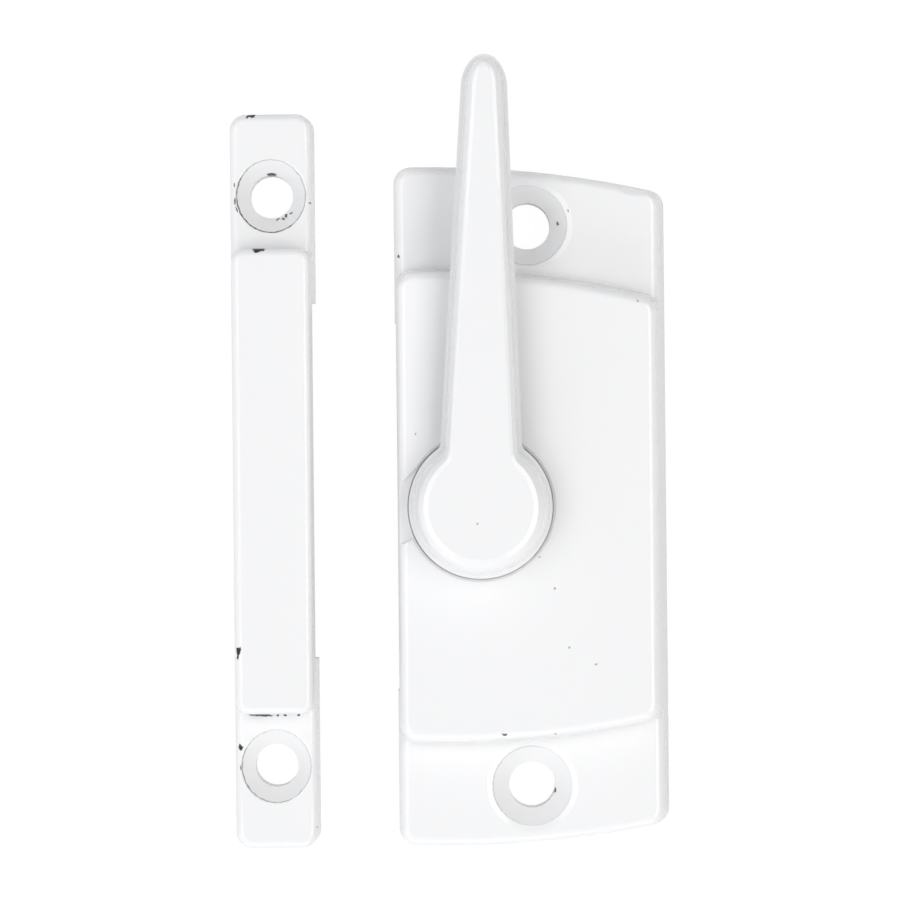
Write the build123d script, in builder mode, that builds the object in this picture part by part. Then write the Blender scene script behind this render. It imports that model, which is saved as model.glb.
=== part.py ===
from build123d import *
from math import cos, radians, sin, tan
import os

# Cam sash lock for a sliding window, with its keeper, in the unlocked position. Millimetres, +Z up.
# Both castings lie on their backs on the plane Z = 0, the rails' surface when fitted.
# The origin is midway between the case's two screw holes. Y runs along the rails, and X from the
# keeper across to the case.

# Case, a die casting with two low feet and a raised middle
case_length = 69.85
case_left = 13.65
case_right = 14.15
case_foot_length = 10.7
case_foot_height = 5.0
case_height = 8.5
case_wall = 1.75
case_roof = 1.8
case_screw_from_end = 6.35
case_screw_hole_radius = 2.375
case_countersink_radius = 4.05
case_rim_width = 0.6
countersink_angle = 90.0
countersink_rim_slope = 12.0
end_curve_radius = 105.0
upper_curve_crest = 3.1
lower_curve_crest = 6.1
left_draft = 2.0
right_draft = 8.5
end_draft = 4.0
step_draft = 9.0
case_corner_radius = 1.75
case_edge_round = 0.95
cavity_corner_radius = 1.5

# Pocket for the lever's hub, and the bearing below it
pivot_from_screws = 5.05
pocket_radius = 7.4
pocket_depth = 0.8
pocket_rim_bevel = 0.25
pocket_floor_thickness = 1.9
bearing_length = 4.0
bearing_boss_wall = 1.9
relief_depth = 0.45
relief_top = 2.7
relief_bottom = 3.7
relief_slope = 45.0

# Slot in the case's left wall, for the cam
cam_slot_length = 37.6
cam_slot_height = 5.2
slot_corner_radius = 0.6

# Lever
lever_reach = 45.6
lever_rest_turn = -1.0
hub_clearance = 0.15
arm_root_width = 8.8
arm_tip_width = 4.7
arm_tip_length = 3.6
arm_thickness = 4.2
arm_gap = 1.8
parting_ledge_width = 0.3
parting_ledge_height = 0.6
side_share = 0.25
edge_round_height = 1.5
root_bevel = 0.9
tip_bevel = 1.25
tip_end_bevel = 1.2
hub_bevel = 1.7
neck_radius_low = 0.8
neck_radius_high = 2.4
edge_sections = 5
journal_radius = 4.3
running_clearance = 0.05
post_square = 6.0

# Cam, on the square end of the lever's post
cam_thickness = 1.6
cam_hub_radius = 6.2
cam_lip_radius = 14.6
cam_eccentricity = 1.6
cam_lip_thickness = 1.5
cam_lip_height = 1.5
cam_half_angle = 62.0
cam_root_round = 1.2
square_clearance = 0.05

# Spring washer between the cam and the bearing boss
spring_washer_thickness = 0.3
spring_washer_outer_radius = 5.9
spring_washer_gap = 0.5
washer_bore_clearance = 0.15

# Screw and washer that hold the cam
screw_radius = 2.0
screw_head_radius = 3.7
screw_head_height = 1.0
screw_head_bevel = 0.3
screw_depth = 5.0
screw_slot_width = 0.9
screw_slot_depth = 0.5
thread_clearance = 0.03
lock_washer_thickness = 0.4
lock_washer_radius = 3.9

# Keeper, a die casting that stands on the other rail
keeper_x = -26.1
keeper_y = 2.75
keeper_length = 75.3
keeper_width = 8.7
keeper_foot_height = 4.5
keeper_height = 8.0
keeper_foot_length = 13.7
keeper_wall = 1.4
keeper_roof = 1.6
keeper_screw_from_end = 8.55
keeper_screw_hole_radius = 2.2
keeper_countersink_radius = 3.65
keeper_rim_width = 0.2
keeper_draft = 2.6
keeper_corner_radius = 1.8
keeper_bar_corner_radius = 1.7
keeper_edge_round = 0.8
keeper_slot_length = 36.4
keeper_slot_height = 5.2
keeper_hook_length = 18.0
keeper_hook_thickness = 1.0
keeper_hook_clearance = 0.3

# Heights worked out from the stack on the pivot
pivot = (-pivot_from_screws, 0)
pocket_floor = case_height - pocket_depth
boss_bottom = pocket_floor - bearing_length
cam_top = boss_bottom - spring_washer_gap
cam_bottom = cam_top - cam_thickness
washer_bottom = cam_bottom - lock_washer_thickness
arm_bottom = case_height + arm_gap
lever_top = arm_bottom + arm_thickness
hub_radius = pocket_radius - hub_clearance
keeper_bar_length = keeper_length - 2 * keeper_foot_length
overshoot = 1.0


def curved_ends(crest_y, radius):
    """Centres of the arcs that close the case's two ends, their crests crest_y from the middle."""
    upper_x = upper_curve_crest - case_left
    lower_x = lower_curve_crest - case_left
    return (upper_x, crest_y - radius), (lower_x, radius - crest_y)


def screw_hole(hole_radius, countersink_radius, rim_width, depth):
    """The space of a countersunk through hole with a gently sloped rim, its mouth at Z = 0."""
    rim_z = -rim_width * tan(radians(countersink_rim_slope))
    neck_z = rim_z - (countersink_radius - hole_radius) / tan(radians(countersink_angle / 2))
    mouth_radius = countersink_radius + rim_width
    with BuildPart() as hole:
        with BuildSketch(Plane.XZ):
            with BuildLine():
                Polyline(
                    (0, overshoot),
                    (0, -depth - overshoot),
                    (hole_radius, -depth - overshoot),
                    (hole_radius, neck_z),
                    (countersink_radius, rim_z),
                    (mouth_radius, 0),
                    (mouth_radius, overshoot),
                    close=True,
                )
            make_face()
        revolve(axis=Axis.Z)
    return hole.part


def case_block(height, end_inset, draft):
    """A block with the case's drafted sides and curved, drafted ends, its corners and top edge rounded."""
    with BuildPart() as block:
        with BuildSketch(Plane.XZ):
            with BuildLine():
                Polyline(
                    (-case_left, 0),
                    (case_right, 0),
                    (case_right - height * tan(radians(right_draft)), height),
                    (-case_left + height * tan(radians(left_draft)), height),
                    close=True,
                )
            make_face()
        extrude(amount=case_length, both=True)
        radius = end_curve_radius - end_inset
        for centre in curved_ends(case_length / 2 - end_inset, radius):
            with BuildSketch():
                with Locations(centre):
                    Circle(radius)
            extrude(amount=height, taper=draft, mode=Mode.INTERSECT)
        corners = block.edges().filter_by(lambda edge: edge.bounding_box().size.Z > height / 2)
        fillet(corners, case_corner_radius)
        fillet(block.faces().sort_by(Axis.Z)[-1].edges(), case_edge_round)
    return block.part


# Hollow of the case, left open at the back, round the bearing boss and below the pocket's floor
with BuildPart() as cavity:
    with BuildSketch() as cavity_plan:
        with Locations(((case_right - case_left) / 2, 0)):
            Rectangle(case_right + case_left - 2 * case_wall, case_length)
        cavity_end = case_foot_length + case_wall
        cavity_radius = end_curve_radius - cavity_end
        for centre in curved_ends(case_length / 2 - cavity_end, cavity_radius):
            with Locations(centre):
                Circle(cavity_radius, mode=Mode.INTERSECT)
        fillet(cavity_plan.vertices(), cavity_corner_radius)
    extrude(amount=case_height - case_roof)
    with BuildSketch(Plane.XY.offset(boss_bottom)):
        with Locations(pivot):
            Circle(journal_radius + running_clearance + bearing_boss_wall)
    extrude(amount=case_height, mode=Mode.SUBTRACT)
    with BuildSketch(Plane.XY.offset(pocket_floor - pocket_floor_thickness)):
        with Locations(pivot):
            Circle(pocket_radius + case_roof)
    extrude(amount=case_height, mode=Mode.SUBTRACT)

# Space of the pocket, bevelled at its rim
with BuildPart() as pocket:
    with BuildSketch(Plane.XZ):
        with BuildLine():
            mouth = case_height + overshoot
            Polyline(
                (0, pocket_floor),
                (pocket_radius, pocket_floor),
                (pocket_radius, case_height - pocket_rim_bevel),
                (pocket_radius + pocket_rim_bevel, case_height),
                (pocket_radius + pocket_rim_bevel, mouth),
                (0, mouth),
                close=True,
            )
        make_face()
    revolve(axis=Axis.Z)

with BuildPart() as case:
    add(case_block(case_foot_height, 0, end_draft))
    add(case_block(case_height, case_foot_length - case_foot_height * tan(radians(step_draft)), step_draft))
    add(cavity.part, mode=Mode.SUBTRACT)

    # Slot that lets the cam swing out through the left wall
    with BuildSketch(Plane.YZ.offset(-case_left - overshoot)) as slot:
        Rectangle(cam_slot_length, 2 * cam_slot_height)
        fillet(slot.vertices(), slot_corner_radius)
    extrude(amount=case_wall + overshoot, mode=Mode.SUBTRACT)

    # Pocket, and the bore below it
    with Locations(pivot):
        add(pocket.part, mode=Mode.SUBTRACT)
        Hole(journal_radius + running_clearance)

    # Low stretch of the thin wall that is left between the pocket and the left side
    with BuildSketch(Plane.XY.offset(case_height - relief_depth)):
        with BuildLine():
            slope_x = -pivot_from_screws - pocket_radius * cos(radians(relief_slope))
            slope_y = pocket_radius * sin(radians(relief_slope))
            low_x = slope_x - (slope_y - relief_top) / tan(radians(relief_slope))
            out_x = -case_left - overshoot
            Polyline(
                (slope_x, slope_y),
                (low_x, relief_top),
                (out_x, relief_top),
                (out_x, -relief_bottom),
                (low_x, -relief_bottom),
                (-pivot_from_screws, 0),
                close=True,
            )
        make_face()
    extrude(amount=relief_depth + overshoot, mode=Mode.SUBTRACT)

    # Countersunk screw holes through the feet
    case_hole = screw_hole(
        case_screw_hole_radius, case_countersink_radius, case_rim_width, case_foot_height
    )
    with Locations((0, 0, case_foot_height)):
        with GridLocations(0, case_length - 2 * case_screw_from_end, 1, 2):
            add(case_hole, mode=Mode.SUBTRACT)
case.part.label = "case"


def lever_plan(height, ledge, share):
    """The lever's plan at a height, drawn in by the parting ledge and by a share of the full bevel."""
    tip_start = lever_reach - arm_tip_length
    root_half = arm_root_width / 2 - ledge - root_bevel * share
    tip_half = arm_tip_width / 2 - ledge - tip_bevel * share
    tip_length = arm_tip_length - ledge - tip_end_bevel * share
    with BuildSketch(Plane.XY.offset(height)) as plan:
        Circle(hub_radius - ledge - hub_bevel * share)
        with BuildLine():
            Line((root_half, 0), (tip_half, tip_start))
            EllipticalCenterArc((0, tip_start), tip_half, tip_length, start_angle=0, arc_size=180)
            Line((-tip_half, tip_start), (-root_half, 0))
            Line((-root_half, 0), (root_half, 0))
        make_face()
        necks = plan.vertices().filter_by(lambda corner: 0 < corner.Y < tip_start / 2)
        fillet(necks, neck_radius_low + (neck_radius_high - neck_radius_low) * share)
    return plan.sketch


with BuildPart() as lever_upright:
    # Hub and arm up to the parting ledge, then the drafted sides, then the rounded upper edge
    with BuildSketch(Plane.XY.offset(pocket_floor + running_clearance)):
        Circle(hub_radius)
    extrude(amount=arm_bottom - pocket_floor)
    add(lever_plan(arm_bottom, 0, 0))
    extrude(amount=parting_ledge_height)
    edge_start = lever_top - edge_round_height
    add(lever_plan(arm_bottom, parting_ledge_width, 0))
    add(lever_plan(edge_start, parting_ledge_width, side_share))
    loft(ruled=True)
    for section in range(edge_sections):
        turn = radians(90 * section / (edge_sections - 1))
        share = side_share + (1 - side_share) * (1 - cos(turn))
        add(lever_plan(edge_start + edge_round_height * sin(turn), parting_ledge_width, share))
    loft(ruled=True)

    # Post: a round journal, a square end for the cam and a hole for the screw
    with BuildSketch(Plane.XY.offset(boss_bottom)):
        Circle(journal_radius)
    extrude(amount=bearing_length + overshoot)
    with BuildSketch(Plane.XY.offset(cam_bottom + square_clearance)):
        Rectangle(post_square, post_square)
    extrude(amount=cam_thickness + spring_washer_gap + overshoot)
    with BuildSketch(Plane.XY.offset(cam_bottom)):
        Circle(screw_radius + thread_clearance)
    extrude(amount=screw_depth + thread_clearance, mode=Mode.SUBTRACT)

with BuildPart() as lever:
    with Locations(Location((*pivot, 0), (0, 0, lever_rest_turn))):
        add(lever_upright.part)
lever.part.label = "lever"

# Cam, a plate with a fan to one side and a curved lip, further from the pivot at its leading end
with BuildPart() as cam:
    with BuildSketch(Plane.XY.offset(cam_bottom)) as cam_plan:
        with Locations((-pivot_from_screws, -cam_eccentricity)):
            Circle(cam_lip_radius)
        with BuildLine():
            far = 2 * cam_lip_radius
            rise = far * tan(radians(cam_half_angle))
            Polyline(pivot, (far - pivot_from_screws, rise), (far - pivot_from_screws, -rise), close=True)
        make_face(mode=Mode.INTERSECT)
        with Locations(pivot):
            Circle(cam_hub_radius)
        fillet(cam_plan.vertices().group_by(Axis.X)[0], cam_root_round)
        with Locations(pivot):
            Rectangle(
                post_square + 2 * square_clearance,
                post_square + 2 * square_clearance,
                rotation=lever_rest_turn,
                mode=Mode.SUBTRACT,
            )
    extrude(amount=cam_thickness)
    with BuildSketch(Plane.XY.offset(cam_top)):
        with Locations((-pivot_from_screws, -cam_eccentricity)):
            Circle(cam_lip_radius)
            Circle(cam_lip_radius - cam_lip_thickness, mode=Mode.SUBTRACT)
        with BuildLine():
            Polyline(pivot, (far - pivot_from_screws, rise), (far - pivot_from_screws, -rise), close=True)
        make_face(mode=Mode.INTERSECT)
    extrude(amount=cam_lip_height)
cam.part.label = "cam"

# Spring washer, dished so that its bore's edge bears on the boss and its rim on the cam
with BuildPart() as spring_washer:
    with BuildSketch(Plane.XZ.shift_origin((-pivot_from_screws, 0, cam_top))):
        with BuildLine():
            washer_bore = journal_radius + washer_bore_clearance
            washer_rise = spring_washer_gap - running_clearance
            Polyline(
                (washer_bore, washer_rise - spring_washer_thickness),
                (spring_washer_outer_radius, 0),
                (spring_washer_outer_radius, spring_washer_thickness),
                (washer_bore, washer_rise),
                close=True,
            )
        make_face()
    revolve(axis=Axis(origin=(*pivot, 0), direction=(0, 0, 1)))
spring_washer.part.label = "spring_washer"

with BuildPart() as lock_washer:
    with BuildSketch(Plane.XY.offset(washer_bottom)):
        with Locations(pivot):
            Circle(lock_washer_radius)
            Circle(screw_radius + washer_bore_clearance, mode=Mode.SUBTRACT)
    extrude(amount=lock_washer_thickness)
lock_washer.part.label = "lock_washer"

with BuildPart() as cam_screw:
    with BuildSketch(Plane.XY.offset(washer_bottom - screw_head_height)):
        with Locations(pivot):
            Circle(screw_head_radius)
    extrude(amount=screw_head_height)
    chamfer(cam_screw.faces().sort_by(Axis.Z)[0].edges(), screw_head_bevel)
    with BuildSketch(Plane.XY.offset(washer_bottom - screw_head_height)):
        with Locations(pivot):
            Rectangle(2 * screw_head_radius, screw_slot_width, rotation=lever_rest_turn)
    extrude(amount=screw_slot_depth, mode=Mode.SUBTRACT)
    with BuildSketch(Plane.XY.offset(washer_bottom)):
        with Locations(pivot):
            Circle(screw_radius)
    extrude(amount=lock_washer_thickness + screw_depth)
cam_screw.part.label = "cam_screw"


def keeper_block(length, height, corner_radius):
    """A drafted rounded block of the keeper's width, its top edge rounded."""
    with BuildPart() as block:
        with BuildSketch():
            with Locations((keeper_x, keeper_y)):
                RectangleRounded(keeper_width, length, corner_radius)
        extrude(amount=height, taper=keeper_draft)
        fillet(block.faces().sort_by(Axis.Z)[-1].edges(), keeper_edge_round)
    return block.part


with BuildPart() as keeper:
    add(keeper_block(keeper_length, keeper_foot_height, keeper_corner_radius))
    add(keeper_block(keeper_bar_length, keeper_height, keeper_bar_corner_radius))

    # Hollow of the bar, open at the back, and the slot that lets the cam in from the right
    with BuildSketch():
        with Locations((keeper_x, keeper_y)):
            Rectangle(keeper_width - 2 * keeper_wall, keeper_bar_length - 2 * keeper_wall)
    extrude(amount=keeper_height - keeper_roof, mode=Mode.SUBTRACT)
    with BuildSketch():
        with Locations((keeper_x + keeper_width / 2, keeper_y)):
            Rectangle(2 * keeper_wall, keeper_slot_length)
    extrude(amount=keeper_slot_height, mode=Mode.SUBTRACT)

    # Hook inside the right wall, which the cam's lip draws against
    hook_bottom = cam_top + keeper_hook_clearance
    with BuildSketch(Plane.XY.offset(hook_bottom)):
        with Locations((keeper_x + keeper_width / 2 - keeper_wall, keeper_y)):
            Rectangle(keeper_hook_thickness, keeper_hook_length, align=(Align.MAX, Align.CENTER))
    extrude(amount=keeper_height - keeper_roof - hook_bottom)

    keeper_hole = screw_hole(
        keeper_screw_hole_radius, keeper_countersink_radius, keeper_rim_width, keeper_foot_height
    )
    with Locations((keeper_x, keeper_y, keeper_foot_height)):
        with GridLocations(0, keeper_length - 2 * keeper_screw_from_end, 1, 2):
            add(keeper_hole, mode=Mode.SUBTRACT)
keeper.part.label = "keeper"

os.makedirs("parts", exist_ok=True)
for piece in (case, lever, cam, spring_washer, lock_washer, cam_screw, keeper):
    export_step(piece.part, f"parts/{piece.part.label}.step")
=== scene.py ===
import math

import bpy
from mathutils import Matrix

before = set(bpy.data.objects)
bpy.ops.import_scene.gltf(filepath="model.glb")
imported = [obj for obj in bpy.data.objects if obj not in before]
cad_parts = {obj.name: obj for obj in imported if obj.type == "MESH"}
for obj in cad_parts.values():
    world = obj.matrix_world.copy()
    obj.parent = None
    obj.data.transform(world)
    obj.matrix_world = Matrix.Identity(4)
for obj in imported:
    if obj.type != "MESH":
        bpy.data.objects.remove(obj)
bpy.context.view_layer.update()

MM = 0.001

# The photograph: 900 by 900 pixels, taken from straight above, its scale that of the floor

PHOTO_SIZE = 900
PHOTO_SCALE = 9.70 / MM
CAMERA_HEIGHT = 0.45
CAMERA_AIM = (-8.08 * MM, 5.75 * MM)
CAMERA_ROLL = math.radians(-0.57)
CAMERA_NEAR = 0.01
SENSOR_WIDTH = 36.0

# Where the lock and the keeper lie in the photograph

PIVOT_PIXEL = (480.0, 505.4)
LOCK_TURN = math.radians(1.15)
KEEPER_PIXEL = (274.1, 480.5)

# The same places in the frame, and the heights of the castings' faces

PIVOT = (-5.05 * MM, 0.0)
KEEPER_CENTRE = (-26.1 * MM, 2.75 * MM)
FOOT_TOP = 5.0 * MM
CASE_TOP = 8.5 * MM
LEVER_TOP = 14.5 * MM
KEEPER_FOOT_TOP = 4.5 * MM
KEEPER_TOP = 8.0 * MM

# Centres of the countersinks' mouths, and how far below them the through holes begin and a mark on a
# cone lies

KEEPER_UPPER_HOLE = (-26.1 * MM, 31.85 * MM, KEEPER_FOOT_TOP)
KEEPER_LOWER_HOLE = (-26.1 * MM, -26.35 * MM, KEEPER_FOOT_TOP)
CASE_UPPER_HOLE = (0.0, 28.575 * MM, FOOT_TOP)
CASE_LOWER_HOLE = (0.0, -28.575 * MM, FOOT_TOP)
NECK_BELOW = 1.4 * MM
CONE_BELOW = 0.6 * MM


def photo_spot(pixel, height, origin_pixel, origin, turn):
    """The place on a piece, in the frame, that a pixel of the photograph shows at a height."""
    middle = PHOTO_SIZE / 2
    scale = PHOTO_SCALE * CAMERA_HEIGHT / (CAMERA_HEIGHT - height)
    dx = (pixel[0] - middle) / scale - (origin_pixel[0] - middle) / PHOTO_SCALE
    dy = (middle - pixel[1]) / scale - (middle - origin_pixel[1]) / PHOTO_SCALE
    x = dx * math.cos(turn) + dy * math.sin(turn)
    y = dy * math.cos(turn) - dx * math.sin(turn)
    return (origin[0] + x, origin[1] + y, height)


def lock_spot(pixel, height):
    return photo_spot(pixel, height, PIVOT_PIXEL, PIVOT, LOCK_TURN)


def keeper_spot(pixel, height):
    return photo_spot(pixel, height, KEEPER_PIXEL, KEEPER_CENTRE, 0.0)


# Node helpers


def new_material(name):
    material = bpy.data.materials.new(name)
    material.use_nodes = True
    tree = material.node_tree
    tree.nodes.clear()
    return material, tree


def node(tree, kind, **settings):
    made = tree.nodes.new(kind)
    for key, value in settings.items():
        setattr(made, key, value)
    return made


def math_node(tree, operation, first, second=None):
    made = node(tree, "ShaderNodeMath", operation=operation)
    for socket, value in zip(made.inputs, (first, second)):
        if value is None:
            continue
        if isinstance(value, (int, float)):
            socket.default_value = value
        else:
            tree.links.new(value, socket)
    return made.outputs[0]


def vector_node(tree, operation, first, second):
    made = node(tree, "ShaderNodeVectorMath", operation=operation)
    for socket, value in zip(made.inputs, (first, second)):
        if isinstance(value, tuple):
            socket.default_value = value
        else:
            tree.links.new(value, socket)
    return made


def noise(tree, place, scale, detail=2.0, roughness=0.5):
    made = node(tree, "ShaderNodeTexNoise")
    made.inputs["Scale"].default_value = scale
    made.inputs["Detail"].default_value = detail
    made.inputs["Roughness"].default_value = roughness
    tree.links.new(place, made.inputs["Vector"])
    return made


def bump(tree, height, strength, distance, invert=False):
    made = node(tree, "ShaderNodeBump", invert=invert)
    made.inputs["Strength"].default_value = strength
    made.inputs["Distance"].default_value = distance
    tree.links.new(height, made.inputs["Height"])
    return made


def fade(tree, value, full, none):
    """1 where the value is at full, 0 where it is at none, and smooth between."""
    edge = node(tree, "ShaderNodeMapRange", interpolation_type="SMOOTHSTEP")
    edge.inputs["From Min"].default_value = none
    edge.inputs["From Max"].default_value = full
    tree.links.new(value, edge.inputs["Value"])
    return edge.outputs["Result"]


def surface(tree, shader, kind="ShaderNodeOutputMaterial"):
    output = node(tree, kind)
    tree.links.new(shader.outputs[0], output.inputs["Surface"])


# Damage to the paint: chips, and cracks round the countersinks

DAMAGE_TONES = {
    "bare": (0.03, 0.033, 0.035, 1.0),
    "worn": (0.13, 0.13, 0.13, 1.0),
    "line": (0.11, 0.11, 0.11, 1.0),
    "faint": (0.48, 0.47, 0.46, 1.0),
}
CHIP_DEEP = 2.5 * MM
CHIP_FULL = 0.75
CHIP_NONE = 1.15
CHIP_RAGGED = 0.5 * MM
CRACK_RAGGED = 0.2 * MM
RAGGED_SCALE = 2600.0
CRACK_CORE = 0.4
CRACK_SIDE = 0.35
CRACK_BREAKS = 900.0
CRACK_FULL = 0.75
CRACK_NONE = 0.35


def chip(spot, width, depth, turn=0.0):
    """A chip at a spot, its width and depth in pixels of the photograph."""
    return spot, (width / 2 / PHOTO_SCALE, depth / 2 / PHOTO_SCALE), math.radians(turn)


def beside(hole, across, up, below=0.0):
    """A spot beside a hole's centre, in pixels of the photograph, and below the hole's mouth."""
    return (hole[0] + across / PHOTO_SCALE, hole[1] + up / PHOTO_SCALE, hole[2] - below)


def crack(spot, half_width, half_depth, width, towards, least, most):
    """A crack round a spot, in pixels of the photograph, strongest towards a direction in the frame."""
    half = (half_width / PHOTO_SCALE, half_depth / PHOTO_SCALE)
    return spot, half, width / 2 / PHOTO_SCALE, (*towards, 0.0), least, most


def shaken(tree, place, reach):
    """The place moved about by fine noise, so that what is drawn with it gets a ragged edge."""
    ragged = noise(tree, place, RAGGED_SCALE, detail=3.0)
    shift = vector_node(tree, "SUBTRACT", ragged.outputs["Color"], (0.5, 0.5, 0.5)).outputs[0]
    scaled = node(tree, "ShaderNodeVectorMath", operation="SCALE")
    scaled.inputs["Scale"].default_value = reach
    tree.links.new(shift, scaled.inputs[0])
    return vector_node(tree, "ADD", place, scaled.outputs[0]).outputs[0]


def around(tree, place, centre, half, turn=0.0):
    """The place as seen from a centre, and its distance there: 1 at half the size along X and Y."""
    local = node(tree, "ShaderNodeMapping", vector_type="TEXTURE")
    local.inputs["Location"].default_value = centre
    local.inputs["Rotation"].default_value = (0.0, 0.0, turn)
    local.inputs["Scale"].default_value = (*half, CHIP_DEEP)
    tree.links.new(place, local.inputs["Vector"])
    length = node(tree, "ShaderNodeVectorMath", operation="LENGTH")
    tree.links.new(local.outputs[0], length.inputs[0])
    return local.outputs[0], length.outputs["Value"]


def chip_mask(tree, torn, chips):
    """1 inside the chips, which fade out at their edges."""
    nearest = None
    for centre, half, turn in chips:
        distance = around(tree, torn, centre, half, turn)[1]
        nearest = distance if nearest is None else math_node(tree, "MINIMUM", nearest, distance)
    return fade(tree, nearest, CHIP_FULL, CHIP_NONE)


def crack_mask(tree, wavy, place, ring):
    """A thin crack in the paint round a hole, darkest towards one side and in patches."""
    centre, half, width, towards, least, most = ring
    local, distance = around(tree, wavy, centre, half)
    off = math_node(tree, "ABSOLUTE", math_node(tree, "SUBTRACT", distance, 1.0))
    line = fade(tree, off, CRACK_CORE * width / half[0], width / half[0])
    side = vector_node(tree, "DOT_PRODUCT", local, towards).outputs["Value"]
    breaks = noise(tree, place, CRACK_BREAKS).outputs["Fac"]
    weight = math_node(tree, "ADD", math_node(tree, "MULTIPLY", side, CRACK_SIDE), breaks)
    patches = math_node(tree, "MULTIPLY", fade(tree, weight, CRACK_FULL, CRACK_NONE), most - least)
    return math_node(tree, "MULTIPLY", line, math_node(tree, "ADD", patches, least))


def damaged(tree, place, colour, damage, cracks):
    """The colour with its damage, and a mask of the lost paint. Lines are less ragged than chips."""
    torn = shaken(tree, place, CHIP_RAGGED)
    wavy = shaken(tree, place, CRACK_RAGGED)
    lost = None
    for tone, chips in damage.items():
        mask = chip_mask(tree, wavy if tone == "line" else torn, chips.values())
        if tone == "worn":
            for ring in cracks:
                mask = math_node(tree, "MAXIMUM", mask, crack_mask(tree, wavy, place, ring))
        paint = node(tree, "ShaderNodeMix", data_type="RGBA")
        paint.inputs["B"].default_value = DAMAGE_TONES[tone]
        tree.links.new(mask, paint.inputs["Factor"])
        tree.links.new(colour, paint.inputs["A"])
        colour = paint.outputs["Result"]
        lost = mask if lost is None else math_node(tree, "MAXIMUM", lost, mask)
    return colour, lost


KEEPER_DAMAGE = {
    "faint": {
        "upper_neck_left": chip(keeper_spot((255.1, 185), KEEPER_FOOT_TOP), 2.4, 2.4),
        "lower_corner": chip(keeper_spot((312.3, 827.8), KEEPER_FOOT_TOP), 2, 2),
    },
    "worn": {
        "scrape_left": chip(beside(KEEPER_UPPER_HOLE, 6.6, -22.6, NECK_BELOW), 5, 1.8, 15),
        "scrape_speck": chip(beside(KEEPER_UPPER_HOLE, 11.5, -22.0, NECK_BELOW), 2.6, 2.6, 30),
        "scrape_middle": chip(beside(KEEPER_UPPER_HOLE, 14.5, -19.4, NECK_BELOW), 2, 4, 30),
        "scrape_right": chip(beside(KEEPER_UPPER_HOLE, 19.4, -16.0, NECK_BELOW), 3.4, 2, 50),
        "upper_foot_right": chip(keeper_spot((310.5, 203), KEEPER_FOOT_TOP), 3, 1.6),
    },
    "line": {
        "upper_neck_top": chip(beside(KEEPER_UPPER_HOLE, 0.4, 22.0, NECK_BELOW), 10, 3.4),
        "upper_rim_high": chip(beside(KEEPER_UPPER_HOLE, -35.9, 11.5), 1.2, 5),
        "upper_rim_left": chip(beside(KEEPER_UPPER_HOLE, -35.7, -5.0), 1.4, 8),
        "upper_rim_low": chip(beside(KEEPER_UPPER_HOLE, -34.0, -13.0), 1.3, 7, 25),
        "step_line": chip(keeper_spot((257.0, 714.6), KEEPER_FOOT_TOP), 26, 2.6, -3.5),
        "step_dot_left": chip(keeper_spot((274, 715), KEEPER_FOOT_TOP), 2.6, 2.2),
        "step_dot_middle": chip(keeper_spot((281.3, 715), KEEPER_FOOT_TOP), 3.4, 2.0),
        "step_dot_right": chip(keeper_spot((295, 715), KEEPER_FOOT_TOP), 3.2, 2.4),
        "lower_rim_left": chip(beside(KEEPER_LOWER_HOLE, -35.5, -1.3), 1.3, 4.6),
    },
    "bare": {
        "upper_end": chip(keeper_spot((252.8, 115.5), KEEPER_FOOT_TOP), 10.5, 3.4, 12),
        "upper_step": chip(keeper_spot((259.6, 248.6), KEEPER_TOP), 13.5, 4.0),
        "upper_step_tail": chip(keeper_spot((257.6, 250.8), KEEPER_TOP), 7, 3.6),
        "bar_left": chip(keeper_spot((235.6, 650), KEEPER_TOP), 5, 8),
        "bar_left_tail": chip(keeper_spot((234.6, 654.5), KEEPER_TOP), 3, 9),
        "lower_foot_left": chip(keeper_spot((236.6, 747), KEEPER_FOOT_TOP), 4, 6.5),
    },
}
CASE_DAMAGE = {
    "faint": {
        "upper_right_inner": chip(lock_spot((636, 299.5), CASE_TOP), 2.2, 2.2),
        "upper_right_outer": chip(lock_spot((652, 298), CASE_TOP), 2, 2),
        "left_of_lever": chip(lock_spot((415, 434.1), CASE_TOP), 2.2, 2.2),
        "below_pocket": chip(lock_spot((555.9, 587.9), CASE_TOP), 2.2, 2.2),
        "pocket_right": chip(lock_spot((540, 556.4), CASE_TOP), 3, 2.4),
        "face_low": chip(lock_spot((571, 646.6), CASE_TOP), 1.8, 1.8),
        "face_low_right": chip(lock_spot((597.8, 662.9), CASE_TOP), 2.2, 2.2),
        "upper_step_streak": chip(lock_spot((553.5, 277.6), CASE_TOP), 9, 1.8, 13),
    },
    "worn": {
        "lower_step_left": chip(lock_spot((507.3, 734.3), CASE_TOP), 6, 2),
        "lower_step_right": chip(lock_spot((557.9, 733.4), CASE_TOP), 3, 1.6),
        "upper_right_speck": chip(lock_spot((648.4, 295.2), CASE_TOP), 2.2, 2.2),
        "upper_foot_left": chip(lock_spot((396.4, 256.9), FOOT_TOP), 2.6, 4),
        "upper_rim_right": chip(beside(CASE_UPPER_HOLE, 40.7, 13.9), 1.4, 2.8),
        "upper_cone_right": chip(beside(CASE_UPPER_HOLE, 30.2, 1.4, CONE_BELOW), 1.9, 4),
    },
    "bare": {"lower_neck_right": chip(beside(CASE_LOWER_HOLE, 22.2, -6.0, NECK_BELOW), 1.7, 6)},
}
LEVER_DAMAGE = {"faint": {"hub_speck": chip(lock_spot((478.1, 524.1), LEVER_TOP), 2.2, 2.2)}}
KEEPER_CRACKS = (
    crack(KEEPER_UPPER_HOLE, 34.1, 36.0, 1.5, (-0.5, -0.8), 0.4, 1.0),
    crack(KEEPER_LOWER_HOLE, 34.1, 36.0, 1.4, (-0.7, -0.6), 0.25, 0.7),
)
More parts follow.
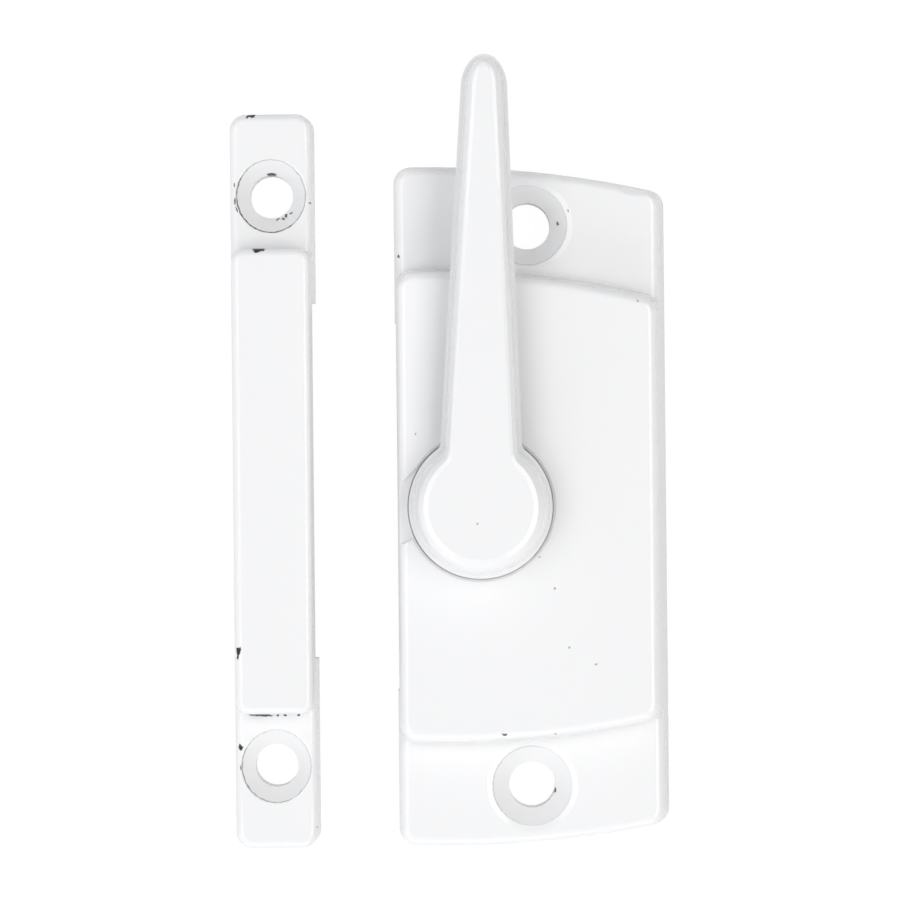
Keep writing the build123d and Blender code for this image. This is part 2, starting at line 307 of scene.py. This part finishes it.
CASE_CRACKS = (
    crack(CASE_UPPER_HOLE, 39.3, 39.3, 1.4, (0.5, -0.8), 0.12, 0.3),
    crack(CASE_LOWER_HOLE, 39.3, 39.3, 1.4, (-0.8, 0.3), 0.12, 0.35),
)

# Enamel: white gloss paint over a zinc casting, with a faint orange peel

ENAMEL_COLOUR = (0.906, 0.905, 0.904, 1.0)
ENAMEL_SHADE = 0.985
ENAMEL_CLOUDS = 90.0
ENAMEL_ROUGHNESS = 0.3
ENAMEL_SPECULAR = 0.25
COAT_ROUGHNESS = 0.04
COAT_IOR = 1.38
COAT_LOSS = 0.8
PAINT_THICK = 0.05 * MM
PIT_STRENGTH = 0.6
PEEL_SCALE = 700.0
FINE_SCALE = 3500.0
FINE_SHARE = 0.15
PEEL_STRENGTH = 0.05
RELIEF = 0.01 * MM


def enamel(name, damage, cracks=()):
    material, tree = new_material(name)
    place = node(tree, "ShaderNodeTexCoord").outputs["Object"]
    shader = node(tree, "ShaderNodeBsdfPrincipled")
    shader.inputs["Roughness"].default_value = ENAMEL_ROUGHNESS
    shader.inputs["Specular IOR Level"].default_value = ENAMEL_SPECULAR
    shader.inputs["Coat Roughness"].default_value = COAT_ROUGHNESS
    shader.inputs["Coat IOR"].default_value = COAT_IOR

    cloud = noise(tree, place, ENAMEL_CLOUDS, detail=3.0)
    tint = node(tree, "ShaderNodeMix", data_type="RGBA")
    tint.inputs["A"].default_value = ENAMEL_COLOUR
    tint.inputs["B"].default_value = tuple(c * ENAMEL_SHADE for c in ENAMEL_COLOUR[:3]) + (1.0,)
    tree.links.new(cloud.outputs["Fac"], tint.inputs["Factor"])
    colour, lost = damaged(tree, place, tint.outputs["Result"], damage, cracks)
    tree.links.new(colour, shader.inputs["Base Color"])
    gloss = math_node(tree, "SUBTRACT", 1.0, math_node(tree, "MULTIPLY", lost, COAT_LOSS))
    tree.links.new(gloss, shader.inputs["Coat Weight"])

    peel = noise(tree, place, PEEL_SCALE).outputs["Fac"]
    fine = math_node(tree, "MULTIPLY", noise(tree, place, FINE_SCALE).outputs["Fac"], FINE_SHARE)
    skin = bump(tree, math_node(tree, "ADD", peel, fine), PEEL_STRENGTH, RELIEF)
    pits = bump(tree, lost, PIT_STRENGTH, PAINT_THICK, invert=True)
    tree.links.new(skin.outputs[0], pits.inputs["Normal"])
    tree.links.new(pits.outputs[0], shader.inputs["Normal"])
    tree.links.new(pits.outputs[0], shader.inputs["Coat Normal"])
    surface(tree, shader)
    return material


# Steel: the hidden cam, its screw and its washers

PLATED = (0.62, 0.61, 0.58, 1.0)
PLATED_ROUGHNESS = 0.35
SPRING = (0.36, 0.36, 0.37, 1.0)
SPRING_ROUGHNESS = 0.3
STEEL_SHADE = 0.8
STEEL_CLOUDS = 260.0
STEEL_SMOOTHER = 0.08
STEEL_ROUGHER = 0.1
GRAIN_SCALE = 4000.0
GRAIN_STRENGTH = 0.2


def steel(name, colour, roughness):
    """Steel with slight clouding in its tone and gloss, and a fine grain."""
    material, tree = new_material(name)
    place = node(tree, "ShaderNodeTexCoord").outputs["Object"]
    shader = node(tree, "ShaderNodeBsdfPrincipled")
    shader.inputs["Metallic"].default_value = 1.0
    cloud = noise(tree, place, STEEL_CLOUDS, detail=5.0, roughness=0.6)
    tone = node(tree, "ShaderNodeMix", data_type="RGBA")
    tone.inputs["A"].default_value = colour
    tone.inputs["B"].default_value = tuple(c * STEEL_SHADE for c in colour[:3]) + (1.0,)
    tree.links.new(cloud.outputs["Fac"], tone.inputs["Factor"])
    tree.links.new(tone.outputs["Result"], shader.inputs["Base Color"])
    spread = node(tree, "ShaderNodeMapRange")
    spread.inputs["To Min"].default_value = roughness - STEEL_SMOOTHER
    spread.inputs["To Max"].default_value = roughness + STEEL_ROUGHER
    tree.links.new(cloud.outputs["Fac"], spread.inputs["Value"])
    tree.links.new(spread.outputs["Result"], shader.inputs["Roughness"])
    grain = bump(tree, noise(tree, place, GRAIN_SCALE).outputs["Fac"], GRAIN_STRENGTH, RELIEF)
    tree.links.new(grain.outputs[0], shader.inputs["Normal"])
    surface(tree, shader)
    return material


# Shading: faces of the casting flow into each other, and only real corners stay sharp

WELD = 0.002 * MM
SMOOTH_ANGLE = math.radians(30)
LEVEL = 0.9999
GENTLE = math.cos(math.radians(22))


def border_of(group, normal_z, least):
    """1 on the edges between faces whose normal rises above the least and faces whose normal doesn't."""
    above = math_node(group, "GREATER_THAN", normal_z, least)
    per_face = node(group, "GeometryNodeFieldOnDomain", domain="FACE", data_type="FLOAT")
    group.links.new(above, per_face.inputs[0])
    from_half = math_node(group, "ABSOLUTE", math_node(group, "SUBTRACT", per_face.outputs[0], 0.5))
    return math_node(group, "LESS_THAN", from_half, 0.25)


def smooth_group(name, borders):
    """Smooth shading, but for real corners and for borders between faces of different slopes."""
    group = bpy.data.node_groups.new(name, "GeometryNodeTree")
    group.interface.new_socket("Geometry", in_out="INPUT", socket_type="NodeSocketGeometry")
    group.interface.new_socket("Geometry", in_out="OUTPUT", socket_type="NodeSocketGeometry")
    source = node(group, "NodeGroupInput")
    target = node(group, "NodeGroupOutput")
    weld = node(group, "GeometryNodeMergeByDistance")
    weld.inputs["Distance"].default_value = WELD
    plain = node(group, "GeometryNodeRemoveAttribute")
    plain.inputs["Name"].default_value = "custom_normal"
    smooth = node(group, "GeometryNodeSetShadeSmooth")

    angle = node(group, "GeometryNodeInputMeshEdgeAngle").outputs["Unsigned Angle"]
    corner = math_node(group, "GREATER_THAN", angle, SMOOTH_ANGLE)
    normal = node(group, "ShaderNodeSeparateXYZ")
    group.links.new(node(group, "GeometryNodeInputNormal").outputs["True Normal"], normal.inputs[0])
    for least in borders:
        corner = math_node(group, "MAXIMUM", corner, border_of(group, normal.outputs["Z"], least))
    sharp = node(group, "GeometryNodeSetShadeSmooth", domain="EDGE")
    sharp.inputs["Shade Smooth"].default_value = False

    group.links.new(source.outputs[0], weld.inputs["Geometry"])
    group.links.new(weld.outputs[0], plain.inputs["Geometry"])
    group.links.new(plain.outputs[0], smooth.inputs["Geometry"])
    group.links.new(smooth.outputs[0], sharp.inputs["Geometry"])
    group.links.new(corner, sharp.inputs["Selection"])
    group.links.new(sharp.outputs[0], target.inputs[0])
    return group


def dress(name, material, smoothing, weighted=True):
    """A material and smooth shading; weighted keeps broad faces flat, and isn't for fine lofted bands."""
    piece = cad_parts[name]
    piece.data.materials.clear()
    piece.data.materials.append(material)
    piece.modifiers.new("smooth", "NODES").node_group = smoothing
    if weighted:
        flats = piece.modifiers.new("flats", "WEIGHTED_NORMAL")
        flats.keep_sharp = True


by_angle = smooth_group("smooth_by_angle", (LEVEL,))
by_slope = smooth_group("smooth_lever", (LEVEL, GENTLE))
dress("case", enamel("case_enamel", CASE_DAMAGE, CASE_CRACKS), by_angle)
dress("lever", enamel("lever_enamel", LEVER_DAMAGE), by_slope, weighted=False)
dress("keeper", enamel("keeper_enamel", KEEPER_DAMAGE, KEEPER_CRACKS), by_angle)
plated = steel("plated_steel", PLATED, PLATED_ROUGHNESS)
spring = steel("spring_steel", SPRING, SPRING_ROUGHNESS)
dress("cam", plated, by_angle)
dress("cam_screw", plated, by_angle)
dress("lock_washer", spring, by_angle)
dress("spring_washer", spring, by_angle)


# Floor and room: both look white to the camera, the floor partly so in reflections, and the floor keeps a
# faint shadow

FLOOR_HALF = 1.5
FLOOR_COLOUR = (0.85, 0.85, 0.86, 1.0)
FLOOR_PLAIN = 0.94
FLOOR_PLAIN_GLOSS = 0.2
FLOOR_WHITE = 1.03
ROOM_LIGHT = 0.53
ROOM_SLOPE = (-0.5, -0.4, 0.0)
ROOM_TINT = (0.972, 0.987, 1.025, 1.0)
WHITE = (1.0, 1.0, 1.0, 1.0)


def plain_share(tree, share, gloss_share):
    """How far the white shows in place of the lit surface: share for what the camera sees, less in gloss."""
    path = node(tree, "ShaderNodeLightPath")
    seen = math_node(tree, "MAXIMUM", path.outputs["Is Camera Ray"], path.outputs["Is Transmission Ray"])
    glossy = math_node(tree, "MULTIPLY", path.outputs["Is Glossy Ray"], gloss_share)
    return math_node(tree, "MAXIMUM", math_node(tree, "MULTIPLY", seen, share), glossy)


def mixed(tree, share, lit, plain):
    mix = node(tree, "ShaderNodeMixShader")
    tree.links.new(share, mix.inputs["Fac"])
    tree.links.new(lit.outputs[0], mix.inputs[1])
    tree.links.new(plain.outputs[0], mix.inputs[2])
    return mix


def make_floor():
    mesh = bpy.data.meshes.new("floor")
    corners = [(-1, -1), (1, -1), (1, 1), (-1, 1)]
    mesh.from_pydata([(x * FLOOR_HALF, y * FLOOR_HALF, 0.0) for x, y in corners], [], [(0, 1, 2, 3)])
    floor = bpy.data.objects.new("floor", mesh)
    bpy.context.scene.collection.objects.link(floor)
    material, tree = new_material("floor_white")
    lit = node(tree, "ShaderNodeBsdfDiffuse")
    lit.inputs["Color"].default_value = FLOOR_COLOUR
    plain = node(tree, "ShaderNodeEmission")
    plain.inputs["Strength"].default_value = FLOOR_WHITE
    surface(tree, mixed(tree, plain_share(tree, FLOOR_PLAIN, FLOOR_PLAIN_GLOSS), lit, plain))
    mesh.materials.append(material)


def make_world():
    """A white room, brighter towards the keeper's side and the lower end."""
    world = bpy.data.worlds.new("soft_room")
    bpy.context.scene.world = world
    world.use_nodes = True
    tree = world.node_tree
    tree.nodes.clear()
    direction = node(tree, "ShaderNodeTexCoord").outputs["Generated"]
    slope = vector_node(tree, "DOT_PRODUCT", direction, ROOM_SLOPE).outputs["Value"]
    strength = math_node(tree, "MULTIPLY", math_node(tree, "ADD", slope, 1.0), ROOM_LIGHT)
    lit = node(tree, "ShaderNodeBackground")
    lit.inputs["Color"].default_value = ROOM_TINT
    tree.links.new(strength, lit.inputs["Strength"])
    plain = node(tree, "ShaderNodeBackground")
    plain.inputs["Color"].default_value = WHITE
    surface(tree, mixed(tree, plain_share(tree, 1.0, 0.0), lit, plain), "ShaderNodeOutputWorld")


# Lamps: two panels at the sides and a weaker, lower one at the lower end. Angles are in degrees

LAMP_TINT = (1.0, 0.993, 0.977)
LAMP_DISTANCE = 1.0
SIDE_LEAN = 26
SIDE_SIZE = (0.9, 0.42)
LOW_LEAN = 64
LOW_SIZE = (0.9, 0.3)
LEFT_BEARING = 180
RIGHT_BEARING = 0
LOW_BEARING = 270
LEFT_RADIANCE = 1.85
RIGHT_RADIANCE = 3.05
LOW_RADIANCE = 1.7


def soft_box(name, lean, bearing, size, radiance):
    """A panel lamp that faces the object, leaning off the vertical towards a bearing."""
    data = bpy.data.lights.new(name, "AREA")
    data.shape = "RECTANGLE"
    data.size, data.size_y = size
    data.color = LAMP_TINT
    data.energy = radiance * math.pi * size[0] * size[1]
    lamp = bpy.data.objects.new(name, data)
    lean, bearing = math.radians(lean), math.radians(bearing)
    flat = LAMP_DISTANCE * math.sin(lean)
    high = LAMP_DISTANCE * math.cos(lean)
    lamp.location = (flat * math.cos(bearing), flat * math.sin(bearing), high)
    aim = -lamp.location
    lamp.rotation_euler = aim.to_track_quat("-Z", "Y").to_euler()
    bpy.context.scene.collection.objects.link(lamp)


make_floor()
make_world()
soft_box("left_box", SIDE_LEAN, LEFT_BEARING, SIDE_SIZE, LEFT_RADIANCE)
soft_box("right_box", SIDE_LEAN, RIGHT_BEARING, SIDE_SIZE, RIGHT_RADIANCE)
soft_box("low_box", LOW_LEAN, LOW_BEARING, LOW_SIZE, LOW_RADIANCE)


# Camera

camera_data = bpy.data.cameras.new("camera")
camera_data.sensor_width = SENSOR_WIDTH
camera_data.lens = SENSOR_WIDTH * CAMERA_HEIGHT * PHOTO_SCALE / PHOTO_SIZE
camera_data.clip_start = CAMERA_NEAR
camera = bpy.data.objects.new("camera", camera_data)
camera.location = (*CAMERA_AIM, CAMERA_HEIGHT)
camera.rotation_euler = (0.0, 0.0, CAMERA_ROLL)
bpy.context.scene.collection.objects.link(camera)
bpy.context.scene.camera = camera
bpy.context.scene.view_settings.view_transform = "Standard"
